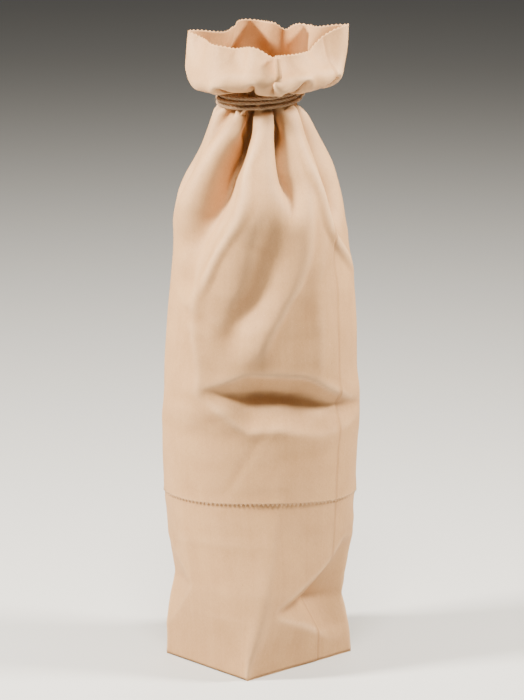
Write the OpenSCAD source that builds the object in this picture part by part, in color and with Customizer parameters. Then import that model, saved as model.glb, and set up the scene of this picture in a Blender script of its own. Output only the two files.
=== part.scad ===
// Two-part kraft paper wine bag: a block-bottom base bag, a tall sleeve glued round it,
// and a jute twine tie that gathers the sleeve into a neck under its open collar.
// Millimetres, +Z up, origin at the middle of the base, on the surface that the bag stands on.

/* [Base bag] */
// Width of the flat base, along X
base_w = 94; // [88:1:100]
// Depth of the flat base, along Y
base_d = 80; // [74:1:86]
// Height of the base bag's own mouth, hidden inside the sleeve
base_bag_h = 150; // [142:1:160]

/* [Sleeve] */
// Height of the sleeve's toothed lower edge
sleeve_low = 115; // [108:1:118]
// Half of the body's width along its long diagonal, at its fullest
body_long = 63; // [60:0.5:64]
// Height of the rounded shoulder where the body starts to narrow
shoulder_z = 305; // [298:1:308]
// Height of the collar's rim
rim_z = 420; // [414:1:428]
// Half of the open collar's width along the same diagonal
collar_long = 57; // [54:0.5:58]

/* [Neck] */
// Height of the middle of the twine tie
tie_z = 378; // [375:0.5:381]
// Outer radius of the gathered neck under the twine
neck_r = 24.5; // [22:0.5:25]
// Thickness of the bundle of pleats at the neck
pleats = 8; // [6:0.5:9]

/* [Twine] */
// Diameter of the jute twine
twine_d = 2.8; // [2.5:0.1:3]
// Turns that the twine makes round the neck
turns = 3; // [3:1:3]
// Direction of the knot from the X axis, in degrees
knot_turn = -12; // [-30:1:10]

/* [Board] */
// Thickness of the card laid on the bottom
board_t = 1.5; // [1:0.1:2]

/* [Hidden] */

kraft = [0.80, 0.64, 0.48];
kraft_shade = [0.74, 0.58, 0.43];
board_grey = [0.62, 0.52, 0.40];
jute = [0.55, 0.40, 0.27];

wall = 0.8;                      // drawn thickness of the paper
gap = 0.3;                       // room between two pieces that only touch
flap_t = 0.5;                    // drawn thickness of a folded bottom flap
flap_taper = 9;                  // how much narrower a flap is at its inner edge, each side
board_inset = 1.5;               // room between the board and the bag's walls
board_corner = 4;                // radius of the board's corners
side_points = 9;                 // points along each quarter of a section

perimeter = 2 * (base_w + base_d);
diagonal = atan2(base_d, base_w);
along = [cos(diagonal), -sin(diagonal)];     // the long diagonal, level
across = [sin(diagonal), cos(diagonal)];     // a quarter turn from it

floor_z = flap_t + 0.1;                      // underside of the base bag's own bottom
board_z = floor_z + wall + 0.1;

// The short half of an oval with this long half and the paper's whole perimeter.
function short_half(long) = sqrt(pow(perimeter / PI, 2) / 2 - long * long);

// A station of the bag: [height, how round the section is from 0 to 1, long half, short half, thickness].
function body(z, round, long) = [z, round, long, short_half(long), wall];
function circle_at(z, r, thick) = [z, 1, r, r, thick];

base_stations = [
    body(floor_z, 0, body_long - 3),
    body(35, 0.25, body_long - 3),
    body(75, 0.7, body_long - 2),
    body(sleeve_low, 0.92, body_long - 1.5),
    body(base_bag_h, 1, body_long)
];

neck_low = tie_z - 6.5;
neck_top = tie_z + 6;
shoulder_h = neck_low - shoulder_z;
collar_h = rim_z - neck_top;

sleeve_stations = [
    base_stations[3],
    base_stations[4],
    body(180, 1, body_long),
    body(240, 1, body_long - 2.5),
    body(280, 1, body_long - 6),
    body(shoulder_z, 1, body_long - 8),
    circle_at(shoulder_z + 0.27 * shoulder_h, neck_r + 26, 1),
    circle_at(shoulder_z + 0.58 * shoulder_h, neck_r + 17.5, 1.4),
    circle_at(shoulder_z + 0.82 * shoulder_h, neck_r + 10, 2.5),
    circle_at(neck_low - 3, neck_r + 4, 5),
    circle_at(neck_low, neck_r - wall - gap, pleats - 1),
    circle_at(neck_top, neck_r - wall - gap, 5),
    circle_at(neck_top + 3.5, collar_long - 16, 1.6),
    circle_at(neck_top + 8, collar_long - 8, 1),
    body(neck_top + 0.38 * collar_h, 1, collar_long - 1),
    body(neck_top + 0.62 * collar_h, 1, collar_long - 1),
    body(rim_z, 1, collar_long)
];

function lerp(a, b, t) = a + (b - a) * t;
function unit(v) = v / norm(v);

// Corner j of the base, counter-clockwise from the right-hand front one, moved out by grow.
function corner(j, grow) = [
    (j % 4 < 2 ? 1 : -1) * (base_w / 2 + grow),
    (j % 4 == 1 || j % 4 == 2 ? 1 : -1) * (base_d / 2 + grow)
];
function oval(turn, long, short) = long * cos(turn) * along + short * sin(turn) * across;

// The points of a station's section, between the base's rectangle and its oval, moved out by grow.
function section(s, grow) = [
    for (j = [0:3], i = [0:side_points - 1])
        let (f = i / side_points,
             boxy = lerp(corner(j, grow), corner(j + 1, grow), f),
             round = oval(90 * (j + f), s[2] + grow, s[3] + grow),
             p = lerp(boxy, round, s[1]))
        [p.x, p.y, s[0]]
];

// A station moved in from the outer surface by its own thickness, square to the profile.
function inner_station(stations, i) =
    let (a = stations[max(i - 1, 0)],
         b = stations[min(i + 1, len(stations) - 1)],
         s = stations[i],
         end = i == 0 || i == len(stations) - 1,
         t = unit([b[2] - a[2], b[0] - a[0]]))
    [s[0] + (end ? 0 : s[4] * t[0]), s[1], s[2] - s[4] * t[1], s[3] - s[4] * t[1], s[4]];

// Rings up the outside of a wall and down its inside.
function wall_rings(stations, grow) = concat(
    [for (s = stations) section(s, grow)],
    [for (i = [len(stations) - 1:-1:0])
        let (s = inner_station(stations, i), drop = stations[i][2] - s[2])
        section([s[0], s[1], stations[i][2], stations[i][3], s[4]], grow - drop)]
);

// The triangles that close ring k of n points round the centre point c.
function cap(k, n, c, up) = [
    for (i = [0:n - 1])
        let (a = k * n + i, b = k * n + (i + 1) % n)
        up ? [a, c, b] : [a, b, c]
];

function middle(ring) = [for (p = ring) 1] * ring / len(ring);

// A closed solid through rings of equal length. A looped one joins its last ring to its first;
// any other is capped at both ends.
module skin(rings, looped) {
    n = len(rings[0]);
    m = len(rings);
    sides = [
        for (k = [0:(looped ? m - 1 : m - 2)], i = [0:n - 1])
            let (a = k * n, b = ((k + 1) % m) * n, j = (i + 1) % n)
            each [[a + i, b + i, b + j], [a + i, b + j, a + j]]
    ];
    caps = looped ? [] : concat(cap(0, n, m * n, false), cap(m - 1, n, m * n + 1, true));
    centres = looped ? [] : [middle(rings[0]), middle(rings[m - 1])];
    polyhedron(points = concat([for (r = rings) each r], centres), faces = concat(sides, caps));
}

// Rings of a round cord along a line of points.
function cord_rings(line, d) = [
    for (k = [0:len(line) - 1])
        let (t = unit(line[min(k + 1, len(line) - 1)] - line[max(k - 1, 0)]),
             side = unit(cross([0, 0, 1], t)),
             up = cross(t, side))
        [for (a = [0:45:315]) line[k] + d / 2 * (cos(a) * side + sin(a) * up)]
];

module base_bag() {
    outer = [for (s = base_stations) section(s, 0)];
    inner = [
        for (i = [len(base_stations) - 1:-1:0])
            let (s = base_stations[i])
            section([i == 0 ? floor_z + wall : s[0], s[1], s[2], s[3]], -wall)
    ];
    color(kraft) skin(concat(outer, inner), false);
}

// One of the two flaps that fold in under the bottom and meet in the middle.
module bottom_flap(side) {
    outer_x = base_w / 2;
    inner_x = outer_x - flap_taper;
    far = side * base_d / 2;
    near = side * 0.1;
    color(kraft_shade)
        linear_extrude(flap_t)
            polygon([[-outer_x, far], [outer_x, far], [inner_x, near], [-inner_x, near]]);
}

module base_board() {
    half = [base_w / 2 - wall - board_inset - board_corner, base_d / 2 - wall - board_inset - board_corner];
    color(board_grey)
        translate([0, 0, board_z])
            linear_extrude(board_t)
                union() {
                    square([2 * half.x, 2 * (half.y + board_corner)], center = true);
                    square([2 * (half.x + board_corner), 2 * half.y], center = true);
                    for (x = [-1, 1], y = [-1, 1])
                        translate([x * half.x, y * half.y]) circle(board_corner, $fn = 32);
                }
}

module sleeve() {
    color(kraft) skin(wall_rings(sleeve_stations, wall + gap), true);
}

// The twine's middle line: turns side by side round the neck, from the knot back to it.
wrap_r = neck_r + 0.4 + twine_d / 2;
wrap_pitch = twine_d + 0.1;
wrap_steps = 25 * turns;
wrap_line = [
    for (k = [0:wrap_steps])
        let (f = k / wrap_steps, a = knot_turn + 360 * turns * f)
        [wrap_r * cos(a), wrap_r * sin(a), tie_z + wrap_pitch * turns * (f - 0.5)]
];

module twine_wraps() {
    color(jute) skin(cord_rings(wrap_line, twine_d), false);
}

knot_r = 3.4;
knot_h = 5;
knot_out = wrap_r + twine_d / 2 + 0.1 + knot_r;

module twine_knot() {
    color(jute)
        rotate([0, 0, knot_turn])
            translate([knot_out, 0, tie_z]) {
                cylinder(knot_h, knot_r, knot_r, center = true, $fn = 48);
                for (z = [-knot_h / 2, knot_h / 2])
                    translate([0, 0, z]) sphere(knot_r, $fn = 48);
            }
}

// The tails' routes, from the knot down round the shoulder: [distance from the bag's axis,
// turn from the knot, height from the tie].
short_tail = [[30.5, 11, 2], [31.5, 21, 1], [33.5, 31, -3.5], [36.5, 38, -10.5], [40.5, 43, -18.5],
              [44, 46, -27]];
long_tail = [[30.5, 11, -4.5], [33, 17, -10.5], [37, 22, -16.5], [41, 25, -24.5], [45.5, 26, -33.5],
             [49.8, 26, -43], [54, 25, -52.5]];

module tail(route) {
    line = [for (p = route) let (a = knot_turn + p[1]) [p[0] * cos(a), p[0] * sin(a), tie_z + p[2]]];
    color(jute) skin(cord_rings(line, twine_d), false);
}

base_bag();
bottom_flap(-1);  // bottom_flap_front
bottom_flap(1);  // bottom_flap_back
base_board();
sleeve();
twine_wraps();
twine_knot();
tail(short_tail);  // twine_tail_short
tail(long_tail);  // twine_tail_long
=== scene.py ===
"""Looks of the kraft paper wine bag: two glued papers on one crumpled tube, and its jute tie."""

import math

import bpy
import numpy as np
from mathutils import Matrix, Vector


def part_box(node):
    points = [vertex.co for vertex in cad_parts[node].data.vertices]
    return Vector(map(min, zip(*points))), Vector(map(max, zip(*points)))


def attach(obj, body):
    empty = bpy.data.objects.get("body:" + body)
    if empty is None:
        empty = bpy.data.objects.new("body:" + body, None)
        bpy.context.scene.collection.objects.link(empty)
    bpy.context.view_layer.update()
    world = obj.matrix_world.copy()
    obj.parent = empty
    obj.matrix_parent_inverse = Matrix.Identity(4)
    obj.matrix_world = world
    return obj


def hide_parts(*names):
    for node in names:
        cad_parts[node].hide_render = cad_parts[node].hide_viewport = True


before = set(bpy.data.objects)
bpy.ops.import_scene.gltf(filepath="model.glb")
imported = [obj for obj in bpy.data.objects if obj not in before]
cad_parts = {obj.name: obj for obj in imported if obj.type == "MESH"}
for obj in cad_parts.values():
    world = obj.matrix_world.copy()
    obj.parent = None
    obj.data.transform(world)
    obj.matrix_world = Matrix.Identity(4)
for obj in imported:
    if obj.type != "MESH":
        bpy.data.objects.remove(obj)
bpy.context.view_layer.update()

MM = 0.001
TURN = 2 * math.pi

# ---------------------------------------------------------------- camera

CAMERA_TURN = math.radians(-42.5)
CAMERA_RISE = math.radians(13.6)
CAMERA_AWAY = 2.47
CAMERA_AIM = Vector((0.0015, -0.0015, 0.2085))
CAMERA_HEIGHT_SEEN = 0.4605      # what the picture's height takes in at the bag


def link(obj):
    bpy.context.scene.collection.objects.link(obj)
    return obj


def make_camera():
    data = bpy.data.cameras.new("camera")
    camera = link(bpy.data.objects.new("camera", data))
    back = Vector((math.sin(CAMERA_TURN) * math.cos(CAMERA_RISE),
                   -math.cos(CAMERA_TURN) * math.cos(CAMERA_RISE),
                   math.sin(CAMERA_RISE)))
    camera.location = CAMERA_AIM + CAMERA_AWAY * back
    camera.rotation_euler = back.to_track_quat("Z", "Y").to_euler()
    data.sensor_fit = "VERTICAL"
    data.sensor_height = 24
    data.lens = data.sensor_height * CAMERA_AWAY / CAMERA_HEIGHT_SEEN
    bpy.context.scene.camera = camera


make_camera()

# ---------------------------------------------------------------- frame sizes, in millimetres

flap_low, flap_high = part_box("bottom_flap_front")
wrap_low, wrap_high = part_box("twine_wraps")
BASE_W = (flap_high[0] - flap_low[0]) / MM
BASE_D = -2 * flap_low[1] / MM
PERIMETER = 2 * (BASE_W + BASE_D)
TIE_Z = (wrap_low[2] + wrap_high[2]) / 2 / MM
RIM_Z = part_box("sleeve")[1][2] / MM
FLOOR_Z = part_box("base_bag")[0][2] / MM
SLEEVE_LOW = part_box("sleeve")[0][2] / MM
BASE_BAG_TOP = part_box("base_bag")[1][2] / MM
FOOT_Z = FLOOR_Z + 0.15          # the papers' lowest edge, just over the bottom flaps

# The bag's own level axes: to the right along the base's long diagonal, and to the front.
RIGHT = np.array([BASE_W, -BASE_D]) / math.hypot(BASE_W, BASE_D)
FRONT = np.array([RIGHT[1], -RIGHT[0]])

OUTER = 0.8                      # the outer paper lies this far outside the tube
STEP = 2.0                       # spacing of the paper grid, both ways
COLUMNS = round(PERIMETER / STEP)


# ---------------------------------------------------------------- curves through given points

def curve(x, knots):
    """A smooth curve with no overshoot through (x, value) knots, level beyond its ends."""
    kx, ky = np.array(knots, float).T
    step = np.diff(kx)
    rise = np.diff(ky) / step
    slope = np.zeros(len(kx))
    same_way = rise[:-1] * rise[1:] > 0
    w1, w2 = 2 * step[1:] + step[:-1], step[1:] + 2 * step[:-1]
    with np.errstate(divide="ignore", invalid="ignore"):
        middle = (w1 + w2) / (w1 / rise[:-1] + w2 / rise[1:])
    slope[1:-1] = np.where(same_way, middle, 0)
    slope[0], slope[-1] = rise[0], rise[-1]
    x = np.clip(x, kx[0], kx[-1])
    k = np.clip(np.searchsorted(kx, x, side="right") - 1, 0, len(kx) - 2)
    t = (x - kx[k]) / step[k]
    return ((1 + 2 * t) * (1 - t) ** 2 * ky[k] + t * (1 - t) ** 2 * step[k] * slope[k]
            + t * t * (3 - 2 * t) * ky[k + 1] + t * t * (t - 1) * step[k] * slope[k + 1])


def smooth(t):
    t = np.clip(t, 0, 1)
    return t * t * (3 - 2 * t)


def window(x, start, full, end_full, end):
    """0 outside start and end, 1 between full and end_full."""
    return smooth((x - start) / (full - start)) * smooth((end - x) / (end - end_full))


def degrees_apart(a, b):
    return (a - b + 180) % 360 - 180


# ---------------------------------------------------------------- the jute twine

TWINE_D = 2.8
PLY_R, PLY_OUT = 0.27 * TWINE_D, 0.23 * TWINE_D      # each of three plies, and how far out it lies
LAY = 8.0                        # length of twine in which its plies go once round
WRAP_R = 26.3
WRAPS = 3
KNOT_TURN = -12
KNOT_OUT = 31.2
TWINE_STEP = 0.6                 # spacing of the points along a twine's line

# The tails' routes: (distance from the bag's axis, turn from the knot in degrees, height from the tie).
SHORT_TAIL = [(30.5, 11, 2), (31.5, 21, 1), (33.5, 31, -3.5), (36.5, 38, -10.5), (40.5, 43, -18.5),
              (44, 46, -27)]
LONG_TAIL = [(30.5, 11, -4.5), (33, 17, -10.5), (37, 22, -16.5), (41, 25, -24.5), (45.5, 26, -33.5),
             (49.8, 26, -43), (54, 25, -52.5)]


def ring_point(away, turn, height):
    """A point at a distance from the axis, at a turn in degrees round it and a height from the tie."""
    a = np.radians(turn)
    return np.stack([away * np.cos(a), away * np.sin(a), TIE_Z + height + 0 * a], axis=-1)


def smooth_line(points, spacing):
    """Evenly spaced points along a smooth curve through the given ones."""
    points = np.asarray(points, float)
    ends = np.vstack([2 * points[0] - points[1], points, 2 * points[-1] - points[-2]])
    fine = []
    for k in range(len(points) - 1):
        t = np.linspace(0, 1, 24, endpoint=False)[:, None]
        a, b, c, d = ends[k:k + 4]
        fine.append(b + 0.5 * t * (c - a + t * (2 * a - 5 * b + 4 * c - d + t * (3 * (b - c) + d - a))))
    return even_line(np.vstack(fine + [points[-1:]]), spacing)


def lengths_along(points):
    """How far along its line each point lies."""
    return np.concatenate([[0], np.cumsum(np.linalg.norm(np.diff(points, axis=0), axis=1))])


def even_line(points, spacing):
    """The same line with its points evenly spaced."""
    at = lengths_along(points)
    even = np.linspace(0, at[-1], max(3, round(at[-1] / spacing) + 1))
    return np.column_stack([np.interp(even, at, points[:, k]) for k in range(3)])


def sides_of(line):
    """Two directions square to a line at each of its points, with no twist of their own."""
    ahead = np.gradient(line, axis=0)
    ahead /= np.linalg.norm(ahead, axis=1, keepdims=True)
    side = np.cross(ahead[0], [0.3, 0.2, 1])
    first = []
    for t in ahead:
        side = side - t * (side @ t)
        side = side / np.linalg.norm(side)
        first.append(side)
    first = np.array(first)
    return first, np.cross(ahead, first)


def tube_mesh(name, rings, along):
    """A closed mesh through rings of points, with a UV map of turns round it and metres along it."""
    n, m = rings.shape[:2]
    verts = np.vstack([rings.reshape(-1, 3), rings[0].mean(axis=0), rings[-1].mean(axis=0)]) * MM
    faces, uvs = [], []
    for i in range(n - 1):
        for j in range(m):
            k = (j + 1) % m
            faces.append((i * m + j, i * m + k, (i + 1) * m + k, (i + 1) * m + j))
            near, far = j / m, (j + 1) / m
            uvs += [(near, along[i]), (far, along[i]), (far, along[i + 1]), (near, along[i + 1])]
    for end, centre in ((0, n * m), (n - 1, n * m + 1)):
        for j in range(m):
            k = (j + 1) % m
            pair = (end * m + k, end * m + j) if end == 0 else (end * m + j, end * m + k)
            faces.append((centre,) + pair)
            uvs += [(0, along[end])] * 3
    mesh = bpy.data.meshes.new(name)
    mesh.from_pydata(verts.tolist(), [], faces)
    layer = mesh.uv_layers.new(name="paper")
    layer.data.foreach_set("uv", np.array(uvs, float).reshape(-1))
    mesh.polygons.foreach_set("use_smooth", [True] * len(faces))
    mesh.update()
    return link(bpy.data.objects.new(name, mesh))


def twine_piece(name, line, seed, sides=21):
    """Three-ply twine along a line: its section is the outline of three plies, and turns along it."""
    rng = np.random.default_rng(seed)
    first, second = sides_of(line)
    along = lengths_along(line)
    lay = TURN * along / LAY + 0.5 * np.sin(along / 7 + seed)
    turn = np.arange(sides) / sides * TURN
    off = (turn[None, :] - lay[:, None] + math.pi / 3) % (TURN / 3) - math.pi / 3
    radius = PLY_OUT * np.cos(off) + np.sqrt(PLY_R ** 2 - (PLY_OUT * np.sin(off)) ** 2)
    lump_at = np.arange(0, along[-1] + 3, 1.7)
    lumps = np.interp(along, lump_at, 1 + rng.normal(0, 0.035, len(lump_at)))
    radius = radius * lumps[:, None] * (1 + rng.normal(0, 0.012, radius.shape))
    rings = (line[:, None] + (radius * np.cos(turn))[..., None] * first[:, None]
             + (radius * np.sin(turn))[..., None] * second[:, None])
    return tube_mesh(name, rings, along * MM)


def fibres_piece(name, line, count, seed, long=(1.5, 4), thick=0.05, at_end=False):
    """Loose fibres that stand out of the twine, each a thin tapered thread."""
    rng = np.random.default_rng(seed)
    first, second = sides_of(line)
    ahead = np.gradient(line, axis=0)
    ahead /= np.linalg.norm(ahead, axis=1, keepdims=True)
    verts, faces, sides, steps = [], [], 3, 5
    for _ in range(count):
        k = len(line) - 1 if at_end else rng.integers(2, len(line) - 2)
        a = rng.uniform(0, TURN)
        out = math.cos(a) * first[k] + math.sin(a) * second[k]
        reach = rng.uniform(*long)
        start = line[k] + out * TWINE_D * (rng.uniform(0, 0.42) if at_end else 0.42)
        lean = rng.uniform(0.1, 0.55) if at_end else rng.uniform(0.35, 1.1)
        way = ahead[k] * (1 if at_end or rng.random() < 0.5 else -1) + out * lean + rng.normal(0, 0.15, 3)
        way /= np.linalg.norm(way)
        bend = rng.normal(0, 0.35, 3) + (0, 0, -0.2)
        t = np.linspace(0, 1, steps)[:, None]
        spine = start + reach * (t * way + 0.5 * t * t * bend)
        one, two = sides_of(spine)
        width = thick * (rng.uniform(1.2, 3.2) if at_end else 1) * (1 - 0.8 * t)
        base = len(verts)
        for i in range(steps):
            for j in range(sides):
                b = TURN * j / sides
                verts.append(spine[i] + width[i] * (math.cos(b) * one[i] + math.sin(b) * two[i]))
        for i in range(steps - 1):
            for j in range(sides):
                q = (j + 1) % sides
                faces.append((base + i * sides + j, base + i * sides + q,
                              base + (i + 1) * sides + q, base + (i + 1) * sides + j))
        last = base + (steps - 1) * sides
        faces += [(base + 2, base + 1, base), (last, last + 1, last + 2)]
    mesh = bpy.data.meshes.new(name)
    mesh.from_pydata((np.array(verts) * MM).tolist(), [], faces)
    mesh.uv_layers.new(name="paper")
    mesh.update()
    return link(bpy.data.objects.new(name, mesh))


def slant(turn):
    """How far the wraps dip, in millimetres: lower at the left front, higher at the right back."""
    return -1.3 * np.cos(np.radians(turn - math.degrees(math.atan2(FRONT[1], FRONT[0])) + 42))


def make_wraps():
    """The middle line of the turns round the neck, each a little above the last."""
    t = np.linspace(0, WRAPS, 420)
    turn = KNOT_TURN + 360 * t
    pitch = TWINE_D + 0.1
    height = pitch * (t - WRAPS / 2) + slant(turn) * (1 + 0.25 * np.sin(TURN * t * 0.37))
    away = WRAP_R + 0.25 * np.sin(turn / 37) + 0.3 * np.sin(TURN * t / 3)
    return even_line(ring_point(away, turn, height), TWINE_STEP)


def make_knot():
    """An overhand knot, pulled small: a trefoil that lies flat against the wraps."""
    t = np.linspace(0, TURN, 120)
    across = np.sin(t) + 2 * np.sin(2 * t)
    up = np.cos(t) - 2 * np.cos(2 * t)
    out = -np.sin(3 * t)
    a = math.radians(KNOT_TURN)
    away = np.array([math.cos(a), math.sin(a), 0])
    side = np.array([-math.sin(a), math.cos(a), 0])
    centre = ring_point(KNOT_OUT - 0.3, KNOT_TURN, -1)
    return (centre + 1.02 * across[:, None] * side + 1.12 * up[:, None] * np.array([0, 0, 1])
            + 1.25 * out[:, None] * away)


def make_twine():
    """Every piece of the tie: its wraps and knot on the bag, and its two tails on their own bodies."""
    pieces = []
    wraps_line = make_wraps()
    wraps = twine_piece("twine_wraps_twisted", wraps_line, 3)
    knot_line = make_knot()
    knot = twine_piece("twine_knot_tied", knot_line, 5)
    wrap_fibres = fibres_piece("twine_fibres", wraps_line, 420, 11)
    knot_fibres = fibres_piece("knot_fibres", knot_line, 50, 12)
    for piece in (wraps, knot, wrap_fibres, knot_fibres):
        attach(piece, "bag")
        pieces.append(piece)
    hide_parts("twine_wraps")
    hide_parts("twine_knot")
    for which, knots, seed in (("short_tail", SHORT_TAIL, 21), ("long_tail", LONG_TAIL, 31)):
        points = np.array([ring_point(d, KNOT_TURN + turn, h) for d, turn, h in knots])
        line = smooth_line(points, TWINE_STEP)
        tail = twine_piece(f"twine_{which}", line, seed)
        fray = fibres_piece(f"{which}_fray", line, 34, seed + 1, (3, 7), 0.09, at_end=True)
        fibres = fibres_piece(f"{which}_fibres", line, 60, seed + 2)
        for piece in (tail, fray, fibres):
            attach(piece, which)
            pieces.append(piece)
        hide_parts("twine_tail_" + which.split("_")[0])
    return pieces


twine_pieces = make_twine()


# ---------------------------------------------------------------- the tube that both papers follow

# Half widths of the bag to its left and right, from the base to the rim: (height, left, right).
NECK_TOP = TIE_Z + 5.5
PROFILE = [
    (0, 61, 62.5), (26, 60, 59.5), (37, 60, 58), (47, 59.5, 59.5), (68, 58.8, 62.3), (110, 62.2, 63.5),
    (150, 63.4, 65.2), (161, 63.2, 66), (181, 62.4, 65.8), (202, 61.6, 64), (222, 60.2, 64), (242, 58.6, 63),
    (262, 56.6, 61.2), (282, 55.2, 58.2), (302, 54.8, 55.4), (312, 53.8, 53.8), (322, 50.2, 51.8),
    (332, 44.9, 49.6), (342, 39.8, 45.6), (352, 36.8, 40.2), (362, 32.8, 35.2), (367, 29.4, 31.2),
    (TIE_Z - 6, 26.2, 27), (TIE_Z - 3, 24.6, 24.6), (TIE_Z + 3, 24.6, 24.6), (NECK_TOP - 1, 26, 27),
    (NECK_TOP, 31, 34), (NECK_TOP + 1.2, 38, 40), (NECK_TOP + 4, 44, 46.5), (NECK_TOP + 8, 46.5, 51),
    (NECK_TOP + 13, 46.5, 52.5), (NECK_TOP + 19, 43.5, 50), (NECK_TOP + 25, 40.5, 47.5),
    (NECK_TOP + 30, 38.5, 46), (RIM_Z - 3, 37.5, 46),
]
ROUNDING = [(0, 0), (10, 0.03), (30, 0.2), (60, 0.5), (90, 0.8), (120, 0.95), (150, 1)]
CORNER_DRIFT = 18                # how far round, in degrees, the front corner's crease leans

# Pleats: turn from the front at the neck and low down, half width at both, depth, where it ends.
PLEATS = [
    dict(neck=-13, low=-49, wide=(7.5, 18), deep=1.5, end=246, rise=64, blunt=2.0),
    dict(neck=-54, low=-62, wide=(6.1, 8), deep=0.7, end=338, blunt=1.3),
    dict(neck=21, low=20, wide=(7.5, 9), deep=0.9, end=296, blunt=1.15),
    dict(neck=68, low=62, wide=(8.2, 10), deep=1.0, end=286, blunt=1.2),
    dict(neck=108, low=118, wide=(8.8, 14), deep=1.0, end=290, blunt=1.3),
    dict(neck=148, low=140, wide=(8.2, 14), deep=1.1, end=300, blunt=1.6),
    dict(neck=186, low=192, wide=(8.8, 16), deep=1.0, end=276, blunt=1.3),
    dict(neck=226, low=216, wide=(8.2, 12), deep=0.9, end=310, blunt=1.2),
    dict(neck=266, low=272, wide=(8.2, 13), deep=1.0, end=295, blunt=1.4),
]
SLACK = [(290, 1), (305, 1.04), (325, 1.12), (340, 1.14), (372, 1.14), (384, 1.22), (400, 1.16)]
PLEAT_LOW = 290                  # the height that a pleat's low turn and width belong to
PLEAT_RISE = 38                  # the height over which a pleat comes to its full depth
PLEATING = [(258, 0), (275, 2.5), (292, 6.5), (315, 10)]    # how deep the pleats start: (height, depth)


def pleats(turn, z, above):
    """How much of the full depth of folding each point takes. The argument above is the paper's
    length over the tie."""
    total = np.zeros_like(turn)
    fall = np.clip((TIE_Z - z) / (TIE_Z - PLEAT_LOW), 0, 1.2)
    flare = math.exp(-(above / 11) ** 1.5)
    for p in PLEATS:
        centre = p["neck"] + (p["low"] - p["neck"]) * fall ** 1.15
        half = p["wide"][0] + (p["wide"][1] - p["wide"][0]) * fall
        strength = p["deep"] * smooth((z - p["end"]) / p.get("rise", PLEAT_RISE)) * flare
        total += strength * np.exp(-np.abs(degrees_apart(turn, centre) / half) ** p["blunt"])
    return total - (1 - flare) * bumps(turn, COLLAR_FOLDS)


# The loose collar over the tie: (turn, half width, how far out or in) of its folds, and (turn, half
# width, height) of what its rim does.
COLLAR_FOLDS = [
    (-92, 15, 0.5), (-122, 13, -1.0), (-60, 22, 0.25), (-20, 9, -0.6), (-6, 6, 0.35), (5, 5, -0.6),
    (13, 6, 0.35), (27, 8, -0.6), (66, 10, -0.6), (88, 9, 0.9), (110, 10, -1.1), (140, 12, 0.4),
    (164, 11, -1.0), (196, 11, 0.3), (214, 10, -0.8),
]
RIM_MOVES = [(-92, 12, 10), (-30, 40, -2), (9, 7, -4), (60, 30, -2), (94, 9, 14), (150, 25, 0), (190, 25, 2)]


def bumps(turn, rows):
    """The sum of soft bumps round the bag, each a (turn, half width, height)."""
    return sum(tall * np.exp(-(degrees_apart(turn, at) / half) ** 2) for at, half, tall in rows)


def crease(across, upper, lower, sharp=1.15):
    """A valley's depth from 1 at its line to 0 at its two edges."""
    reach = np.where(across > 0, across / upper, -across / lower)
    return np.clip(1 - reach, 0, 1) ** sharp


def scattered_creases(count, seed):
    """Soft creases that handling leaves all over: turn, height, slope, half length, half width, height."""
    rng = np.random.default_rng(seed)
    low = np.array([-180, 96, -1.2, 14, 5, 0.35])
    high = np.array([180, 300, 1.2, 42, 12, 1.0])
    rows = rng.uniform(low, high, (count, 6))
    rows[::2, 5] *= -1
    return rows


HANDLING = scattered_creases(46, 5)


def handled(turn, z):
    """The many faint ridges and valleys of handled paper."""
    out = np.zeros_like(turn)
    for at, high, slope, half, wide, tall in HANDLING:
        across, up = degrees_apart(turn, at) * 0.96, z - high
        along = across * math.cos(slope) + up * math.sin(slope)
        off = up * math.cos(slope) - across * math.sin(slope)
        out += tall * np.clip(1 - np.abs(off) / wide, 0, 1) * smooth(1.5 * (1 - np.abs(along) / half))
    return out * (1 - 0.55 * window(turn, -95, -70, 60, 90))


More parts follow.
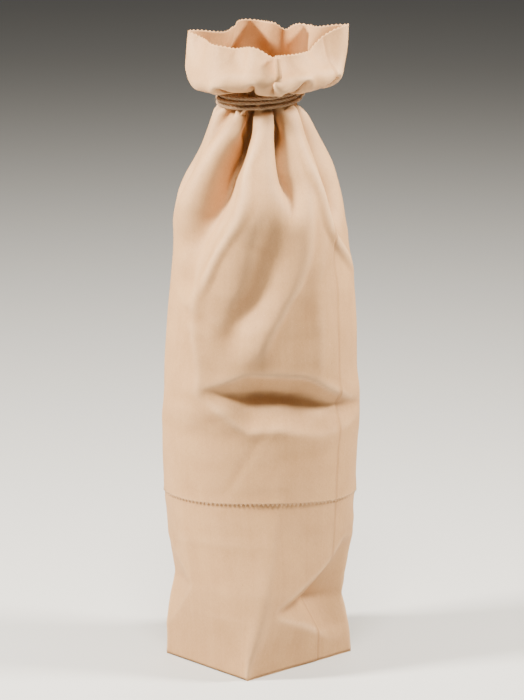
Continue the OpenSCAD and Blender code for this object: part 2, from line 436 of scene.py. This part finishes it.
def dents(turn, z):
    """How far the paper stands out from the plain tube, in millimetres."""
    out = handled(turn, z)
    # no crease in handled paper is quite straight
    turn, z = (turn + 1.4 * np.sin(z / 19 + 1.3) + 0.6 * np.sin(z / 8.3 + turn / 23),
               z + 1.0 * np.sin(turn / 15 + 0.7) + 0.3 * np.sin(turn / 6.1 + z / 19))
    # the buckle across the waist: a sharp valley with a steep dark upper side
    line = curve(turn, [(-40, 190.5), (-17, 188.5), (12, 189), (38, 185), (55, 180), (90, 176)])
    deep = 15 * window(turn, -48, -2, 28, 90)
    upper = 3 + 15 * window(turn, -48, -6, 28, 88)
    out -= deep * crease(z - line, upper, 5 + 19 * window(turn, -48, -6, 40, 92), 1.0)
    # the right front corner, pushed in over the base: two flat facets that meet in a valley
    grow = np.clip(np.minimum((turn - 24) / 50, (150 - turn) / 60), 0, 1)
    line = curve(turn, [(26, 44), (60, 42), (90, 41), (150, 48)])
    deep = curve(turn, [(24, 0), (45, 9.5), (62, 17), (76, 13.5), (92, 6.5), (120, 5), (150, 0)])
    out -= deep * crease(z - line, 3 + 42 * grow, 2 + 29 * grow, 1.0)
    # the left corner, pushed in a little
    grow = np.clip(np.minimum((turn + 134) / 44, (-52 - turn) / 36), 0, 1)
    out -= 5 * grow * crease(z - 58, 2 + 26 * grow, 2 + 34 * grow, 1.0)
    # the front's lower half swells to a low ridge, and turns in again over it
    out += 2.6 * window(turn, -75, -50, 6, 34) * crease(z - 88, 34, 62, 1.1)
    # the slanting roll under the right pleats, and the hollow beside it
    line = curve(z, [(214, 0), (235, 9), (252, 19), (266, 27), (290, 31), (325, 30)])
    off = degrees_apart(turn, line)
    out += 4.6 * window(z, 208, 232, 285, 330) * np.exp(-(off / np.where(off > 0, 6, 13)) ** 2)
    out -= 3.6 * window(z, 205, 245, 290, 335) * np.exp(-(degrees_apart(turn, line - 24) / 11) ** 2)
    out -= 2.2 * window(z, 196, 225, 262, 292) * np.exp(-(degrees_apart(turn, line + 22) / 12) ** 2)
    out -= 2.5 * window(z, 246, 268, 300, 350) * np.exp(-(degrees_apart(
        turn, curve(z, [(246, -56), (280, -50), (345, -30)])) / 15) ** 2)
    # the sharp ridges that bound the left hollow and the right pocket
    out += 2.0 * window(z, 250, 272, 335, 362) * np.clip(1 - np.abs(degrees_apart(
        turn, curve(z, [(250, -44), (268, -36), (300, -20), (345, -4)]))) / 6, 0, 1)
    out += 2.4 * window(z, 262, 278, 330, 360) * np.clip(1 - np.abs(degrees_apart(
        turn, curve(z, [(262, 88), (276, 76), (292, 58), (312, 47), (350, 41)]))) / 6, 0, 1)
    # the long upright fold on the left, and a fainter one by the seam
    out += 2.6 * window(z, 176, 200, 262, 288) * np.exp(-np.abs(degrees_apart(turn, -45) / 7) ** 1.3)
    out += 1.2 * window(z, 190, 215, 262, 300) * np.exp(-np.abs(degrees_apart(turn, 47) / 7) ** 1.4)
    # the back: one shallow buckle and two long folds
    line = curve((turn + 360) % 360, [(130, 236), (180, 226), (230, 238)])
    out -= 5 * window((turn + 360) % 360, 126, 165, 195, 236) * crease(z - line, 20, 24)
    out -= 3 * window(z, 150, 190, 260, 300) * np.exp(-(degrees_apart(turn, 120) / 12) ** 2)
    out += 1.5 * window(z, 120, 170, 240, 290) * np.exp(-np.abs(degrees_apart(turn, 215) / 8) ** 1.3)
    return out


LEAST_ROUND = 0.12               # dents near the base's rectangle are made no deeper than this allows
LEAST_RADIUS = 4.5               # no fold comes nearer to the bag's axis than this


def section_points(psi_deg, row, depth, fold):
    """Points of one level section: the base's rectangle turning into an oval with its pleats."""
    psi = np.radians(psi_deg)
    side = np.where(np.sin(psi) < 0, row["left"], row["right"]) - OUTER
    radius = 1 / np.sqrt((np.sin(psi) / side) ** 2 + (np.cos(psi) / depth) ** 2)
    folded = fold * pleats(psi_deg, row["z"], row["above"])
    dented = dents(psi_deg, row["z"]) / max(row["round"], LEAST_ROUND)
    radius = np.maximum(radius - folded + dented, LEAST_RADIUS)
    return np.outer(radius * np.sin(psi), RIGHT) + np.outer(radius * np.cos(psi), FRONT)


SAMPLES = 1440
QUARTERS = np.arange(SAMPLES) / SAMPLES * 4 + 1          # starts at the back corner
CORNERS = np.array([(1, -1), (1, 1), (-1, 1), (-1, -1), (1, -1), (1, 1)]) * np.array([BASE_W, BASE_D]) / 2


def rectangle():
    """The base's rectangle at each sample."""
    k = np.floor(QUARTERS).astype(int) % 4
    f = (QUARTERS % 1)[:, None]
    return CORNERS[k] * (1 - f) + CORNERS[k + 1] * f


def turns():
    """The turn from the front that belongs to each sample, the front corner leaning to the right."""
    near = np.clip(1 - np.abs(QUARTERS - 3), 0, 1)
    return (QUARTERS - 3) * 90 + CORNER_DRIFT * near ** 2


def length_round(points):
    """The length of each side of a closed ring of points."""
    return np.linalg.norm(np.diff(np.vstack([points, points[:1]]), axis=0), axis=1)


def build_row(row, box, psi):
    """A row of the tube: a section as long as the paper is wide, its points evenly spaced."""
    blend = row["round"]

    def shape(depth, fold):
        return (1 - blend) * box + blend * section_points(psi, row, depth, fold)

    def solve(make, low, high):
        """The value at which the section is as long as the paper is wide."""
        for _ in range(20):
            middle = (low + high) / 2
            if length_round(make(middle)).sum() > PERIMETER:
                high = middle
            else:
                low = middle
        return middle

    begun = float(curve(np.array([row["z"]]), PLEATING)[0])
    mean = (row["left"] + row["right"]) / 2
    gathered = smooth((row["z"] - 296) / 34)
    depth = mean if gathered >= 1 else solve(lambda d: shape(d, begun), 30, 75)
    depth = depth + (mean - depth) * gathered
    fold = begun if gathered <= 0 else solve(lambda f: shape(depth, f), 0, 26)
    points = shape(depth, fold)
    along = np.concatenate([[0], np.cumsum(length_round(points))])
    even = np.arange(COLUMNS) / COLUMNS * along[-1]
    closed = np.vstack([points, points[:1]])
    return np.column_stack([np.interp(even, along, closed[:, k]) for k in (0, 1)])


def build_tube():
    """The paper tube as rows of points from the base to the rim, in millimetres."""
    z, left, right = np.array(PROFILE).T
    mean = (left + right) / 2
    body = z < 305
    steps = np.where(body[1:], np.diff(z), np.hypot(np.diff(z), np.diff(mean)))
    paper = np.concatenate([[0], np.cumsum(steps * curve(z[1:], SLACK))])
    total = paper[-1]
    v = np.arange(0, round(total / STEP) + 1) * STEP
    tie_at = np.interp(TIE_Z + 4, z, paper)
    rows = {
        "z": curve(v, list(zip(paper, z))),
        "left": curve(v, list(zip(paper, left))),
        "right": curve(v, list(zip(paper, right))),
    }
    box, psi = rectangle(), turns()
    grid = np.zeros((len(v), COLUMNS, 3))
    for i, at in enumerate(v):
        row = {k: rows[k][i] for k in rows}
        row["above"] = max(0, at - tie_at)
        row["round"] = float(curve(np.array([row["z"]]), ROUNDING)[0])
        grid[i, :, :2] = build_row(row, box, psi)
        turn = np.degrees(np.arctan2(grid[i, :, :2] @ RIGHT, grid[i, :, :2] @ FRONT))
        grid[i, :, 2] = row["z"] + bumps(turn, RIM_MOVES) * smooth(row["above"] / 45)
    grid[:, :, 2] += FOOT_Z * (1 - smooth(v / 20))[:, None]
    return grid, v


# ---------------------------------------------------------------- the paper as cloth that can't stretch

CREASES = 0.06                   # shortening, as a share of the span, at which a bend becomes a crease
SLIDE = 0.01                     # how much of the hold is along the paper as well as square to it
RING_R = 24.6                    # the paper's largest radius inside the twine
RING_HALF = 6.4                  # half the height of the twine's band


def fit(x, free, a, b, shift, rest, share, squeeze):
    """Moves the pairs x[a], x[b] (b taken shift columns on) so that each is rest apart, share of the
    way in one pass, and where they are too close only squeeze of that."""
    pa, pb = x[a], np.roll(x[b], -shift, axis=1) if shift else x[b]
    wa, wb = free[a], free[b]
    gap = pb - pa
    length = np.sqrt(np.einsum("ijk,ijk->ij", gap, gap))[..., None]
    share = np.where(length < rest, share * squeeze, share)
    move = gap * (share * (length - rest) / np.maximum(length, 1e-6) / np.maximum(wa + wb, 1e-9))
    x[a] += wa * move
    move = wb * move
    x[b] -= np.roll(move, shift, axis=1) if shift else move


def stiffen(x, free, axis, span, rest, stiff):
    """Keeps points span apart in a line from coming closer, and gives way where they are creased."""
    gap = np.roll(x, -span, axis=1) - x if axis else x[span:] - x[:-span]
    length = np.sqrt(np.einsum("ijk,ijk->ij", gap, gap))[..., None]
    short = np.maximum(span * rest - length, 0)
    firm = 0.25 * stiff / (1 + (short / (CREASES * span * rest)) ** 2)
    move = gap / np.maximum(length, 1e-6) * short * firm
    if axis:
        x -= free * move
        x += free * np.roll(move, span, axis=1)
    else:
        x[:-span] -= free[:-span] * move
        x[span:] += free[span:] * move


def keep_clear(x, free):
    """Keeps the paper inside the twine's ring, and above the floor."""
    z, r = x[:, :, 2], np.linalg.norm(x[:, :, :2], axis=-1)
    inside = (np.abs(z - TIE_Z) < RING_HALF) & (r > RING_R) & (free[:, :, 0] > 0)
    over = inside & (z > TIE_Z + 4)
    z[over] = TIE_Z + RING_HALF
    under = inside & ~over
    x[under, :2] *= (RING_R / r[under])[:, None]
    z[:] = np.maximum(z, FOOT_Z)


def normals_of(points, closed):
    """Directions square to a grid of points. The columns of a closed one go round."""
    if closed:
        along_u = np.roll(points, -1, axis=1) - np.roll(points, 1, axis=1)
    else:
        along_u = np.gradient(points, axis=1)
    n = np.cross(along_u, np.gradient(points, axis=0))
    return n / np.maximum(np.linalg.norm(n, axis=-1, keepdims=True), 1e-9)


def relax(drawn, hold, rest, passes, stiff, spans, jitter, squeeze):
    """Cloth simulation: every edge of the grid pulls back to its length on the flat paper."""
    rows = len(drawn)
    free = (hold < 1).astype(float)[..., None]
    pull = np.where(hold < 1, hold, 0)[..., None]
    square = normals_of(drawn, closed=True)
    x = drawn + free * np.random.default_rng(7).normal(0, jitter, drawn.shape)
    before = x.copy()
    diagonal = rest * math.sqrt(2)
    every, even, odd = slice(None), slice(0, None, 2), slice(1, None, 2)
    for _ in range(passes):
        speed = 0.9 * (x - before)
        before = x.copy()
        off = drawn - x
        out = (1 - SLIDE) * square * (off * square).sum(axis=-1, keepdims=True)
        x += free * speed + pull * (SLIDE * off + out)
        for start in (0, 1):
            low, high = slice(start, rows - 1, 2), slice(start + 1, rows, 2)
            fit(x, free, low, high, 0, rest, 1, squeeze)
            fit(x, free, low, high, 1, diagonal, 0.5, squeeze)
            fit(x, free, low, high, -1, diagonal, 0.5, squeeze)
        fit(x, free, (every, even), (every, odd), 0, rest, 1, squeeze)
        fit(x, free, (every, odd), (every, even), 1, rest, 1, squeeze)
        for span in spans:
            stiffen(x, free, 0, span, rest, stiff)
            stiffen(x, free, 1, span, rest, stiff)
        keep_clear(x, free)
    return x


def holding(points, v, body, collar):
    """How firmly each point keeps to its drawn place, from 0 to 1, where it is pinned."""
    z = points[:, :, 2]
    turn = np.degrees(np.arctan2(points[:, :, :2] @ RIGHT, points[:, :, :2] @ FRONT))
    v = v[:, None]
    hold = np.where(v < 12, 0.1, np.where(z < TIE_Z + 5, body, collar))
    hold = hold + 0.4 * window(z, 160, 172, 206, 222) * window(turn, -52, -30, 70, 92)
    corners = window(turn, 2, 22, 125, 150) + window(turn, -140, -120, -50, -20)
    hold = hold + 0.35 * smooth((105 - z) / 25) * corners
    hold = hold + 0.1 * window(z, 205, 230, 290, 320) * window(turn, -60, -40, 50, 70)
    hold = hold + 0.14 * window(z, 272, 300, 372, TIE_Z + 5)
    return np.where(v < 1, 1.0, np.minimum(hold, 0.6))


def sample(grid, rows, cols):
    """Smooth points of the grid at fractional rows and columns; the columns go round."""
    count, around = grid.shape[:2]
    r0 = np.clip(np.floor(rows).astype(int), 0, count - 2)
    c0 = np.floor(cols).astype(int)
    fr, fc = rows - r0, cols - c0

    def weights(t):
        return [(-t + 2 * t ** 2 - t ** 3) / 2, (2 - 5 * t ** 2 + 3 * t ** 3) / 2,
                (t + 4 * t ** 2 - 3 * t ** 3) / 2, (-t ** 2 + t ** 3) / 2]

    out = np.zeros(rows.shape + (3,))
    for i, wr in enumerate(weights(fr)):
        line = np.zeros_like(out)
        r = np.clip(r0 + i - 1, 0, count - 1)
        for j, wc in enumerate(weights(fc)):
            line += wc[..., None] * grid[r, (c0 + j - 1) % around]
        out += wr[..., None] * line
    return out


def blurred(grid):
    """Each point of the grid averaged with its neighbours; the first and last rows are kept."""
    out = (np.roll(grid, 1, axis=1) + 2 * grid + np.roll(grid, -1, axis=1)) / 4
    out[1:-1] = (out[:-2] + 2 * out[1:-1] + out[2:]) / 4
    out[[0, -1]] = grid[[0, -1]]
    return out


COARSE = 3                       # the big folds form on a grid this many times coarser
CALM_BELOW = 18                  # the big folds are evened out from this far below the tie
CALM_OVER = 30                   # and fully so this much lower


def crumple(drawn, v):
    """The drawn tube as paper: first its big folds on a coarse grid, then its small ones."""
    big = drawn[::COARSE, ::COARSE]
    hold = holding(big, v[::COARSE], body=0.06, collar=0.016)
    moved = relax(big, hold, rest=COARSE * STEP, passes=1500, stiff=0.5, spans=(2, 3), jitter=0.2,
                  squeeze=1) - big
    calm = smooth((TIE_Z - CALM_BELOW - big[:, :, 2:]) / CALM_OVER)
    for _ in range(3):
        moved = moved + calm * (blurred(moved) - moved)
    rows, cols = np.meshgrid(np.arange(len(v)) / COARSE, np.arange(drawn.shape[1]) / COARSE, indexing="ij")
    start = drawn + sample(moved, np.minimum(rows, len(big) - 1), cols)
    hold = holding(start, v, body=0.04, collar=0.02)
    return relax(start, hold, rest=STEP, passes=120, stiff=0.6, spans=(2, 4), jitter=0, squeeze=0.1)


COLLAR_IN = 0.065                # by what share the collar is drawn in from side to side
COLLAR_LEAN = 1.6                # how far the collar leans to the right, in millimetres
COLLAR_FROM = 6                  # both begin this far above the tie
COLLAR_OVER = 16                 # and are full this much higher
# How the rim is shifted after the simulation: (turn, half width, height).
RIM_SHIFTS = [(-45, 28, -5), (8, 18, -4.5), (40, 22, -9), (60, 12, -3), (86, 10, 6), (161, 15, 11)]
RIM_FROM = 10                    # the shift begins this far above the tie
RIM_OVER = 28                    # and is full this much higher
CRISP = 0.6                      # how much crisper the folds are made
CRISP_WIDTH = 30                 # how many times the paper is blurred to find its folds
CRISP_LOW = 8                    # crisp folds begin at this height
CRISP_LOW_OVER = 30              # and are full this much higher
CRISP_HIGH = 22                  # they end this far below the tie
CRISP_HIGH_OVER = 40             # and are full this much lower


def drawn_in(grid):
    """The tube with its collar a little narrower from side to side and leaning right, and its rim
    lower in front and higher at the back."""
    along, front = grid[:, :, :2] @ RIGHT, grid[:, :, :2] @ FRONT
    z = grid[:, :, 2]
    move = (COLLAR_LEAN - COLLAR_IN * along) * smooth((z - TIE_Z - COLLAR_FROM) / COLLAR_OVER)
    turn = np.degrees(np.arctan2(along, front))
    out = grid.copy()
    out[:, :, :2] += move[..., None] * RIGHT
    out[:, :, 2] += bumps(turn, RIM_SHIFTS) * smooth((z - TIE_Z - RIM_FROM) / RIM_OVER)
    return out


def sharpened(grid):
    """The tube with its folds and creases made crisper, from just over the base to the pleats."""
    near = blurred(blurred(grid))
    far = near
    for _ in range(CRISP_WIDTH):
        far = blurred(far)
    z = grid[:, :, 2:]
    where = smooth((z - CRISP_LOW) / CRISP_LOW_OVER) * smooth((TIE_Z - CRISP_HIGH - z) / CRISP_HIGH_OVER)
    return grid + CRISP * where * (near - far)


tube, paper_v = build_tube()
tube = crumple(tube, paper_v)
tube = sharpened(drawn_in(tube))


# ---------------------------------------------------------------- meshes from the tube

def bending(points, normal):
    """How sharply the paper bends at each point: above 0 on a ridge, below 0 in a valley."""
    total = np.zeros(points.shape[:2])
    for span in (1, 2):
        middle = points[span:-span, span:-span]
        round_it = (points[2 * span:, span:-span] + points[:-2 * span, span:-span]
                    + points[span:-span, 2 * span:] + points[span:-span, :-2 * span]) / 4
        out = ((middle - round_it) * normal[span:-span, span:-span]).sum(axis=-1)
        total[span:-span, span:-span] += out / span ** 2
    return total


def grid_object(name, points, uv):
    """A mesh of quads through an array of rows of points, given in millimetres."""
    n, m = points.shape[:2]
    index = np.arange(n * m).reshape(n, m)
    corners = [index[:-1, :-1], index[:-1, 1:], index[1:, 1:], index[1:, :-1]]
    quads = np.stack(corners, axis=-1).reshape(-1, 4)
    mesh = bpy.data.meshes.new(name)
    mesh.from_pydata((points.reshape(-1, 3) * MM).tolist(), [], quads.tolist())
    layer = mesh.uv_layers.new(name="paper")
    flat = (uv.reshape(-1, 2) * MM)[quads.reshape(-1)]
    layer.data.foreach_set("uv", flat.reshape(-1))
    mesh.polygons.foreach_set("use_smooth", [True] * len(quads))
    mesh.update()
    return link(bpy.data.objects.new(name, mesh))


TOOTH = PERIMETER / 120          # pitch of the saw-cut edges
TOOTH_DEEP = 2.2                 # depth of the hem's teeth
RIM_TOOTH = 0.45                 # the rim's teeth are this share of that
ROW_STEP = STEP * 0.9            # spacing of a paper's rows
LAP = 12                         # how far a paper's glued seam laps over itself
LAP_FROM = 16                    # the lap begins to lift this far before the paper has gone once round
LAP_OVER = 20                    # and is lifted fully this much further on
LAP_CLEAR = 0.3                  # room between the two layers of a lap
PAPER = 0.24                     # drawn thickness of the paper
SLEEVE_CLEAR = 0.5               # how far the sleeve lies outside the base bag
HEM_LIFT = 0.6                   # how much further out its hem stands
HEM_REACH = 4                    # the height over which it does
SEAM_TURN = 0.665                # where the seam lies along the wide front side, from 0 to 1
TWIST = 7                        # how far the papers have turned to the left above the base
TWIST_FROM = 45                  # the height at which they begin to turn
TWIST_OVER = 90                  # and the height over which they do
SEAM_SHADE = -0.5                # the bend that the seam's painted shadow line counts as
HEM_SHADE = 0.6                  # the bend that the hem's pale cut edge counts as
BEND_WEAR_AND_SHADE = 1.6                    # how strongly a bend pales the paper on a ridge, and how strongly it darkens a valley with painted shade


def paper_piece(name, low, high, seam, outward, saw_low=False, saw_high=False):
    """One paper from paper height low to high, closed by a lapped seam at paper width seam."""
    fine = TOOTH / 2
    u = np.arange(0, round((PERIMETER + LAP) / fine) + 1) * fine
    v = np.concatenate([np.arange(low, high - STEP / 2, ROW_STEP), [high]])
    uu, vv = np.meshgrid(seam - LAP + u, v)
    flat = np.stack([uu, vv], axis=-1)
    uu = uu - TWIST * smooth((vv - TWIST_FROM) / TWIST_OVER)
    notch = (np.arange(len(u)) % 2 == 1) * TOOTH_DEEP
    if saw_low:
        over_teeth = low + TOOTH_DEEP + 0.3 * (vv - low) / STEP
        vv = np.where(vv < low + 0.1, vv + notch, np.maximum(vv, over_teeth))
    if saw_high:
        under_teeth = high - RIM_TOOTH * TOOTH_DEEP - 0.3 * (high - vv) / STEP
        vv = np.where(vv > high - 0.1, vv - RIM_TOOTH * notch, np.minimum(vv, under_teeth))
    points = sample(tube, vv / STEP, uu / STEP)
    normal = normals_of(points, closed=False)
    over = smooth((u - PERIMETER + LAP_FROM) / LAP_OVER) * (PAPER + LAP_CLEAR)
    lift = outward(vv) + over[None, :]
    points = points + normal * lift[..., None]
    flat[:, :, 1] = vv
    piece = grid_object(name, points, flat)
    bent = bending(points, normal)
    # painted shadow: the lap's outer edge, and the line just beside it on the layer below, darkened
    lap_shadow_line = (u > PERIMETER + LAP - 0.8) | (np.abs(u - LAP - 0.7) < 0.75)
    bent = np.where(lap_shadow_line[None, :], SEAM_SHADE, bent)
    if saw_low:
        bent[0] = HEM_SHADE
    # edge is worn paleness on ridges; fold is painted shade in valleys and along the seam
    for label, share in (("edge", bent), ("fold", -bent)):
        layer = piece.data.attributes.new(label, "FLOAT", "POINT")
        layer.data.foreach_set("value", np.clip(share * BEND_WEAR_AND_SHADE, 0, 1).reshape(-1))
    thick = piece.modifiers.new("paper", "SOLIDIFY")
    thick.thickness = PAPER * MM
    thick.offset = 0
    return piece


rim_v = paper_v[-1]
seam_u = BASE_W + BASE_D + SEAM_TURN * BASE_W
base_bag = paper_piece("base_bag_paper", 0, BASE_BAG_TOP, seam_u, lambda v: 0 * v)
sleeve = paper_piece(
    "sleeve_paper", SLEEVE_LOW, rim_v, seam_u,
    lambda v: SLEEVE_CLEAR + HEM_LIFT * np.exp(-(v - SLEEVE_LOW) / HEM_REACH), saw_low=True, saw_high=True)
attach(base_bag, "bag")
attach(sleeve, "bag")
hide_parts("base_bag")
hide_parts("sleeve")


# ---------------------------------------------------------------- materials

def add(tree, kind, inputs=None, **settings):
    """Adds one node; an input is a number, a colour or another node's output."""
    made = tree.nodes.new("ShaderNode" + kind)
    for key, value in settings.items():
        setattr(made, key, value)
    for key, value in (inputs or {}).items():
        if isinstance(value, bpy.types.NodeSocket):
            tree.links.new(value, made.inputs[key])
        else:
            made.inputs[key].default_value = value
    return made


def pattern(tree, place, scale, detail=2, turn=0, rough=0.5):
    """A noise with its own size along each axis of the surface, from 0 to 1."""
    rotation = (0, 0, math.radians(turn))
    laid = add(tree, "Mapping", {"Vector": place, "Rotation": rotation, "Scale": scale})
    return add(tree, "TexNoise", {"Vector": laid.outputs[0], "Scale": 1, "Detail": detail,
                                  "Roughness": rough}).outputs["Fac"]


def math_node(tree, operation, a, b):
    return add(tree, "Math", {0: a, 1: b}, operation=operation).outputs[0]


def spread(tree, value, low, high, out_low=0.0, out_high=1.0):
    """A value between low and high, moved to lie between out_low and out_high."""
    return add(tree, "MapRange", {"Value": value, "From Min": low, "From Max": high,
                                  "To Min": out_low, "To Max": out_high}).outputs[0]


def mixed(tree, share, a, b):
    """One colour turning into another; each is a colour or another node's output."""
    return add(tree, "Mix", {0: share, 6: a, 7: b}, data_type="RGBA").outputs[2]


def new_material(name, specular):
    """A new material, its node tree and its shader."""
    mat = bpy.data.materials.new(name)
    mat.use_nodes = True
    bsdf = mat.node_tree.nodes["Principled BSDF"]
    bsdf.inputs["Specular IOR Level"].default_value = specular
    return mat, mat.node_tree, bsdf


def placing(tree, by_paper):
    """Where a point lies: on the flat paper, or else in the object."""
    if by_paper:
        return add(tree, "UVMap", uv_map="paper").outputs["UV"]
    return add(tree, "TexCoord").outputs["Object"]


def kraft(name, by_paper=True, tint=1.0):
    """Unbleached kraft paper: cloudy pulp, faint rolled stripes, long fibres, flecks, creases worn pale on
    their ridges, and painted shade in their valleys and along the seam.
    """
    def tinted(red, green, blue):
        return red * tint, green * tint, blue * tint, 1

    mat, tree, bsdf = new_material(name, 0.32)
    place = placing(tree, by_paper)
    cloud = pattern(tree, place, (55, 38, 55), 4, rough=0.6)
    stripes = pattern(tree, place, (420, 7, 420), 2)
    long_way = pattern(tree, place, (2600, 420, 2600), 3, turn=8)
    cross_way = pattern(tree, place, (500, 2300, 500), 3, turn=-14)
    grain = pattern(tree, place, (4200, 4200, 4200), 2)
    fibre = math_node(tree, "ADD", math_node(tree, "MULTIPLY", long_way, 0.6),
                      math_node(tree, "MULTIPLY", cross_way, 0.4))
    shade = math_node(tree, "ADD", spread(tree, cloud, 0.3, 0.7, 0.1, 0.5),
                      spread(tree, fibre, 0.35, 0.65, 0.0, 0.42))
    shade = math_node(tree, "ADD", shade, spread(tree, stripes, 0.35, 0.65, -0.05, 0.06))
    colour = mixed(tree, shade, tinted(0.395, 0.208, 0.086), tinted(0.56, 0.322, 0.146))
    specks = pattern(tree, place, (900, 520, 900), 1, turn=30)
    colour = mixed(tree, spread(tree, specks, 0.735, 0.79, 0, 0.55), colour, tinted(0.26, 0.135, 0.06))
    pale = pattern(tree, place, (640, 1500, 640), 1, turn=52)
    colour = mixed(tree, spread(tree, pale, 0.73, 0.8, 0, 0.5), colour, tinted(0.72, 0.48, 0.27))
    if by_paper:
        edge = add(tree, "Attribute", attribute_name="edge").outputs["Fac"]
        rub = math_node(tree, "MULTIPLY", edge, spread(tree, grain, 0.35, 0.6, 0.25, 0.8))
        colour = mixed(tree, rub, colour, tinted(0.70, 0.46, 0.26))
        # painted shade: the paper darkened towards deep brown in its valleys and along the seam's edge
        fold = add(tree, "Attribute", attribute_name="fold").outputs["Fac"]
        colour = mixed(tree, math_node(tree, "MULTIPLY", fold, 0.45), colour, tinted(0.27, 0.125, 0.05))
    tree.links.new(colour, bsdf.inputs["Base Color"])
    tree.links.new(spread(tree, fibre, 0.3, 0.7, 0.74, 0.58), bsdf.inputs["Roughness"])
    rough = math_node(tree, "ADD", fibre, math_node(tree, "MULTIPLY", grain, 0.4))
    fine = add(tree, "Bump", {"Height": rough, "Strength": 0.35, "Distance": 0.00012})
    ripple = pattern(tree, place, (130, 95, 130), 3)
    wide = add(tree, "Bump", {"Height": ripple, "Strength": 0.3, "Distance": 0.0009,
                              "Normal": fine.outputs[0]})
    tree.links.new(wide.outputs[0], bsdf.inputs["Normal"])
    return mat


def jute():
    """Jute twine: fibres that run along the plies, with dry pale ends and darker strands."""
    mat, tree, bsdf = new_material("jute", 0.2)
    by_length = add(tree, "UVMap", uv_map="paper").outputs["UV"]
    strands = pattern(tree, by_length, (26, 420, 1), 3, rough=0.6)
    place = add(tree, "TexCoord").outputs["Object"]
    clumps = pattern(tree, place, (380, 380, 380), 2)
    fuzz = pattern(tree, place, (5200, 5200, 5200), 2)
    colour = mixed(tree, spread(tree, strands, 0.34, 0.66),
                   (0.20, 0.115, 0.062, 1), (0.50, 0.335, 0.20, 1))
    colour = mixed(tree, spread(tree, clumps, 0.35, 0.7, 0, 0.45), colour, (0.36, 0.215, 0.12, 1))
    colour = mixed(tree, spread(tree, fuzz, 0.6, 0.75, 0, 0.4), colour, (0.62, 0.46, 0.30, 1))
    tree.links.new(colour, bsdf.inputs["Base Color"])
    tree.links.new(spread(tree, fuzz, 0.3, 0.7, 0.95, 0.75), bsdf.inputs["Roughness"])
    height = math_node(tree, "ADD", strands, math_node(tree, "MULTIPLY", fuzz, 0.5))
    rough = add(tree, "Bump", {"Height": height, "Strength": 0.8, "Distance": 0.0004})
    tree.links.new(rough.outputs[0], bsdf.inputs["Normal"])
    return mat


def grey_board():
    """Recycled grey board: mottled pulp with dark and pale flecks, softly fibrous."""
    mat, tree, bsdf = new_material("board", 0.25)
    place = placing(tree, False)
    cloud = pattern(tree, place, (70, 70, 70), 4, rough=0.65)
    fibre = pattern(tree, place, (2400, 500, 1200), 3, turn=20)
    speck = pattern(tree, place, (1100, 700, 900), 1)
    colour = mixed(tree, spread(tree, cloud, 0.3, 0.7), (0.30, 0.27, 0.23, 1), (0.44, 0.40, 0.34, 1))
    colour = mixed(tree, spread(tree, fibre, 0.5, 0.75, 0, 0.5), colour, (0.56, 0.52, 0.46, 1))
    colour = mixed(tree, spread(tree, speck, 0.7, 0.78, 0, 0.7), colour, (0.12, 0.10, 0.09, 1))
    tree.links.new(colour, bsdf.inputs["Base Color"])
    tree.links.new(spread(tree, fibre, 0.3, 0.7, 0.95, 0.8), bsdf.inputs["Roughness"])
    rough = add(tree, "Bump", {"Height": fibre, "Strength": 0.4, "Distance": 0.0002})
    tree.links.new(rough.outputs[0], bsdf.inputs["Normal"])
    return mat


def wear(obj, mat):
    """Gives an object this one material."""
    obj.data.materials.clear()
    obj.data.materials.append(mat)


paper_look = kraft("kraft_paper")
for piece in (base_bag, sleeve):
    wear(piece, paper_look)
jute_look = jute()
for piece in twine_pieces:
    wear(piece, jute_look)
flap_look = kraft("kraft_flap", by_paper=False, tint=0.97)
for name in ("bottom_flap_front", "bottom_flap_back"):
    wear(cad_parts[name], flap_look)
wear(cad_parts["base_board"], grey_board())


# ---------------------------------------------------------------- floor and light

FLOOR_HALF = 3                   # half of the floor's side, in metres
FLOOR_GREY = (0.55, 0.55, 0.54, 1)
WARM = (1, 0.935, 0.83)
WORLD_STRENGTH = 0.035


def make_floor():
    mesh = bpy.data.meshes.new("floor")
    half = FLOOR_HALF
    corners = [(-half, -half, 0), (half, -half, 0), (half, half, 0), (-half, half, 0)]
    mesh.from_pydata(corners, [], [(0, 1, 2, 3)])
    floor = link(bpy.data.objects.new("floor", mesh))
    mat = bpy.data.materials.new("floor")
    mat.use_nodes = True
    bsdf = mat.node_tree.nodes["Principled BSDF"]
    bsdf.inputs["Base Color"].default_value = FLOOR_GREY
    bsdf.inputs["Roughness"].default_value = 0.9
    mesh.materials.append(mat)


def area_light(name, turn, rise, away, size, power, aim=0.22):
    """A soft square light that looks at the bag at the height aim, all in metres and degrees. Its turn
    is measured from the camera's own turn."""
    data = bpy.data.lights.new(name, "AREA")
    data.shape = "RECTANGLE"
    data.size = size
    data.size_y = size
    data.energy = power
    data.color = WARM
    lamp = link(bpy.data.objects.new(name, data))
    a, e = CAMERA_TURN + math.radians(turn), math.radians(rise)
    back = Vector((math.sin(a) * math.cos(e), -math.cos(a) * math.cos(e), math.sin(e)))
    lamp.location = Vector((0, 0, aim)) + away * back
    lamp.rotation_euler = back.to_track_quat("Z", "Y").to_euler()


make_floor()
area_light("key", turn=-74, rise=38, away=1.2, size=0.2, power=60)
area_light("right", turn=84, rise=38, away=0.85, size=0.18, power=28, aim=0.33)
area_light("top", turn=0, rise=66, away=0.9, size=0.15, power=10)
area_light("back", turn=175, rise=50, away=1.4, size=0.6, power=10)
world = bpy.data.worlds.new("studio")
world.use_nodes = True
background = world.node_tree.nodes["Background"]
background.inputs["Color"].default_value = (1, 1, 1, 1)
background.inputs["Strength"].default_value = WORLD_STRENGTH
bpy.context.scene.world = world
